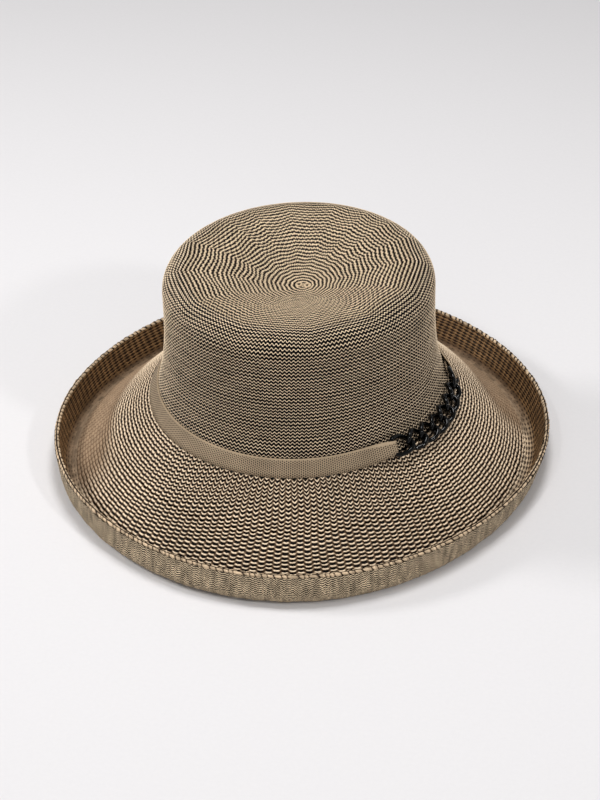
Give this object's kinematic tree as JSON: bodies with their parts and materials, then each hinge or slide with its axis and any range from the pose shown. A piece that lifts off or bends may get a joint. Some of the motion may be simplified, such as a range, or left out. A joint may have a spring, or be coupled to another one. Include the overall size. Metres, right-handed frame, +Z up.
{
  "type": "knitted breton hat with a chain trim",
  "caption": "Knitted breton hat with a round crown, sunken top, upturned brim, ribbon band and a short black curb chain on one side.",
  "frame": {"origin": "on the surface that the hat rests on, under the middle of its bounding box", "axes": "+Z up through the crown, -Y the hat's front, +X the wearer's left, where the chain lies"},
  "size_m": [0.3122, 0.337, 0.1355],
  "materials": {
    "crown_knit": "open knit of pale tan tape yarn over dark gaps",
    "brim_knit": "open knit of pale tan tape yarn, coarser toward the rim",
    "facing_knit": "fine close knit",
    "edge_stitch": "rope-like overcast edge",
    "ribbon": "fine matte knitted ribbon",
    "black_chain": "gloss black enamel"
  },
  "bodies": {
    "root": {"crown": "crown_knit", "closing_knot": "crown_knit", "brim": "brim_knit", "brim_facing": "facing_knit", "rim_edge": "edge_stitch", "band": "ribbon", "link_01": "black_chain", "link_02": "black_chain", "link_03": "black_chain", "link_04": "black_chain", "link_05": "black_chain", "link_06": "black_chain", "link_07": "black_chain", "link_08": "black_chain"}
  },
  "joints": []
}
